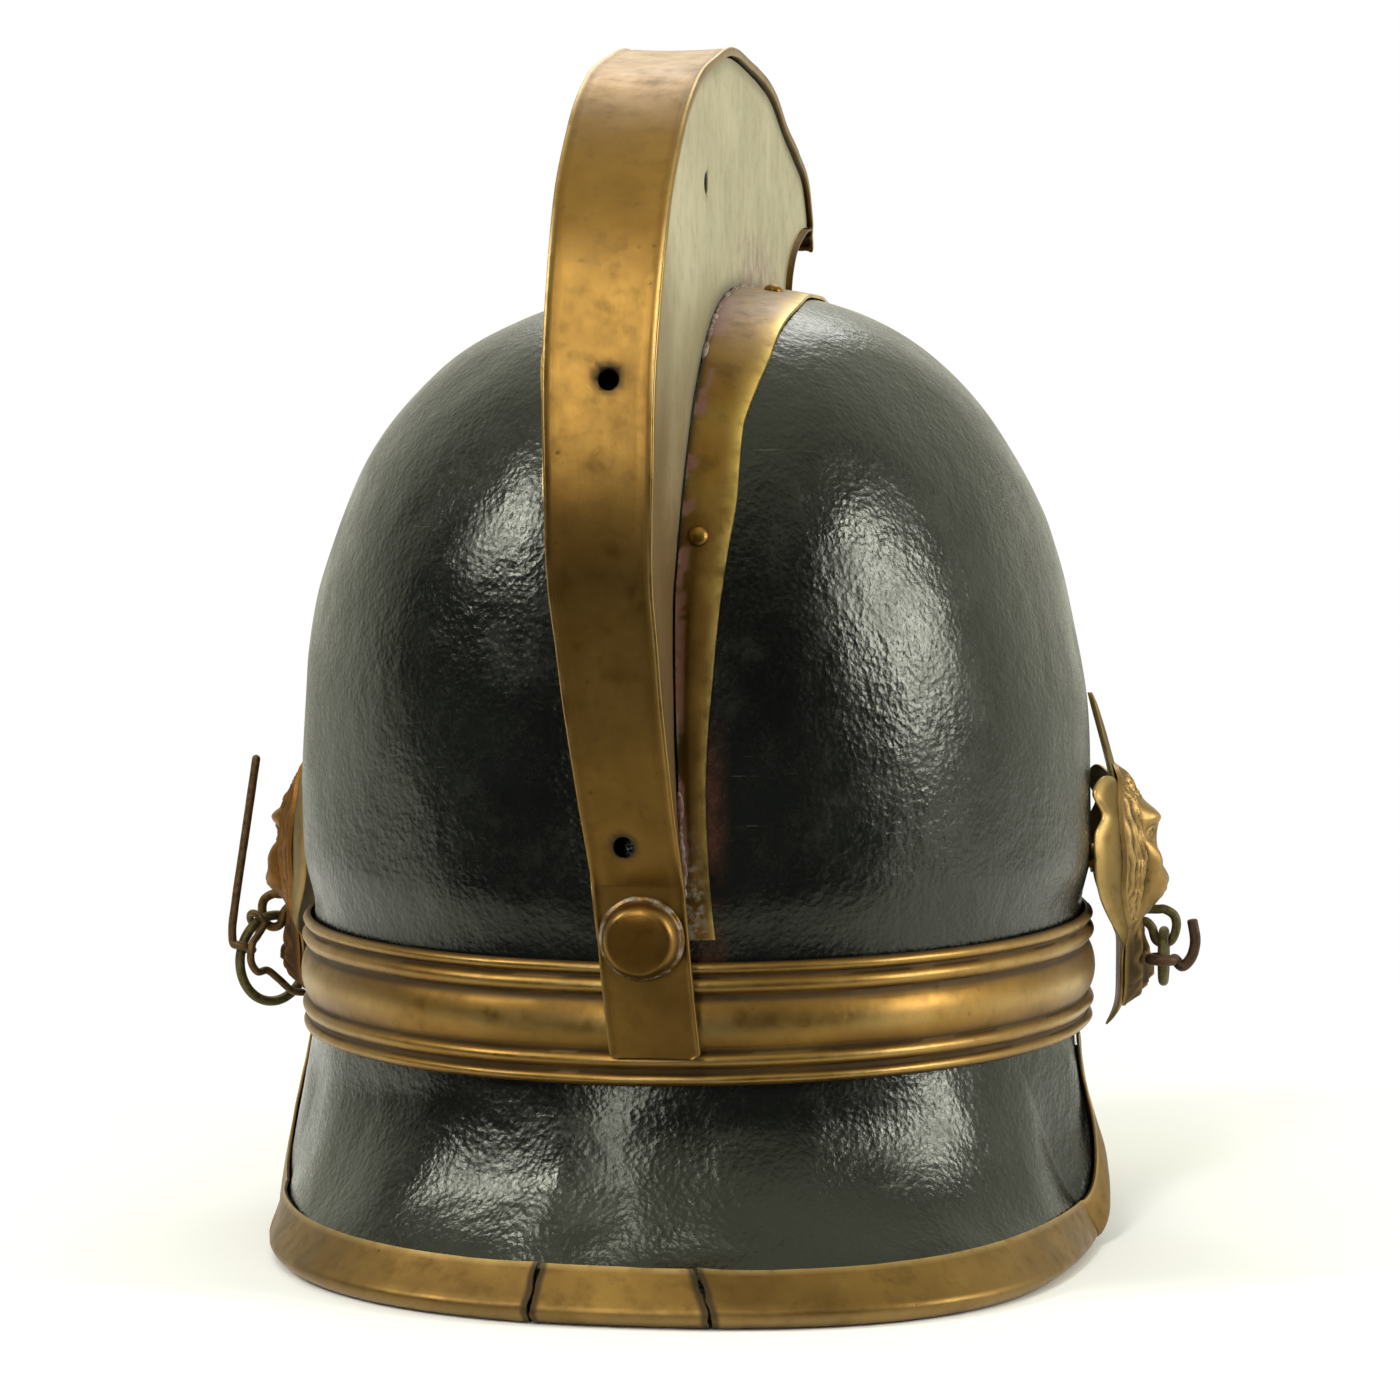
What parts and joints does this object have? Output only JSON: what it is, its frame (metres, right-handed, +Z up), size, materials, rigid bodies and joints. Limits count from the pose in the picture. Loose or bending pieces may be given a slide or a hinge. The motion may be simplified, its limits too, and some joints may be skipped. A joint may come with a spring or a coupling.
{
  "type": "leather fire helmet",
  "caption": "Black leather fire helmet with a tall brass comb, a beaded brass browband, lion-head side bosses, and iron rings and hooks that swing.",
  "frame": {"origin": "on the surface that the helmet stands on, under the middle of its bounding box", "axes": "+X to the wearer's left, +Y to the rear, +Z up"},
  "size_m": [0.2538, 0.3082, 0.2938],
  "materials": {
    "black_leather": "worn black lacquer",
    "brown_leather": "dull, worn",
    "aged_brass": "aged, dark in the hollows",
    "pale_brass": "tarnished, pale",
    "boss_brass": "cast and aged",
    "iron": "brown patina"
  },
  "bodies": {
    "helmet": {"boss_nut_left": "iron", "boss_nut_right": "iron", "boss_plate_left": "boss_brass", "boss_plate_right": "boss_brass", "boss_stud_left": "aged_brass", "boss_stud_right": "aged_brass", "browband_front": "aged_brass", "browband_rear": "aged_brass", "comb_crown_strip": "aged_brass", "comb_foot_left": "aged_brass", "comb_foot_right": "aged_brass", "comb_front_plate": "aged_brass", "comb_knob": "aged_brass", "comb_knob_nut": "iron", "comb_rivet_left_1": "aged_brass", "comb_rivet_left_2": "aged_brass", "comb_rivet_left_3": "aged_brass", "comb_rivet_right_1": "aged_brass", "comb_rivet_right_2": "aged_brass", "comb_rivet_right_3": "aged_brass", "comb_wall_left": "pale_brass", "comb_wall_right": "pale_brass", "front_peak": "black_leather", "front_peak_trim": "aged_brass", "liner": "brown_leather", "lion_head_left": "boss_brass", "lion_head_right": "boss_brass", "mouth_eye_left": "iron", "mouth_eye_right": "iron", "neck_guard": "black_leather", "neck_guard_trim": "aged_brass", "skull_shell": "black_leather", "sweatband": "brown_leather"},
    "left_ring": {"left_ring": "iron"},
    "left_hook": {"left_hook": "iron"},
    "left_link": {"left_link": "iron"},
    "right_ring": {"right_ring": "iron"},
    "right_hook": {"right_hook": "iron"}
  },
  "joints": [
    {"name": "left_ring_swing", "type": "hinge", "parent": "helmet", "child": "left_ring", "pos_m": [0.11735, -0.02111, 0.068], "axis": [0.8, -0.6, 0], "range_deg": [-45, 8]},
    {"name": "left_hook_swing", "type": "hinge", "parent": "left_ring", "child": "left_hook", "pos_m": [0.12377, -0.01254, 0.0636], "axis": [-0.2049, -0.2739, 0.9397], "range_deg": [-60, 10]},
    {"name": "left_link_swing", "type": "hinge", "parent": "left_ring", "child": "left_link", "pos_m": [0.12056, -0.01683, 0.06977], "axis": [-0.5302, -0.7062, 0.4692], "range_deg": [-7, 2]},
    {"name": "right_ring_swing", "type": "hinge", "parent": "helmet", "child": "right_ring", "pos_m": [-0.11726, -0.02111, 0.068], "axis": [1, 0, 0], "range_deg": [-60, 55]},
    {"name": "right_hook_swing", "type": "hinge", "parent": "right_ring", "child": "right_hook", "pos_m": [-0.11726, -0.01471, 0.0647], "axis": [0, 0, 1], "range_deg": [-60, 45]}
  ]
}
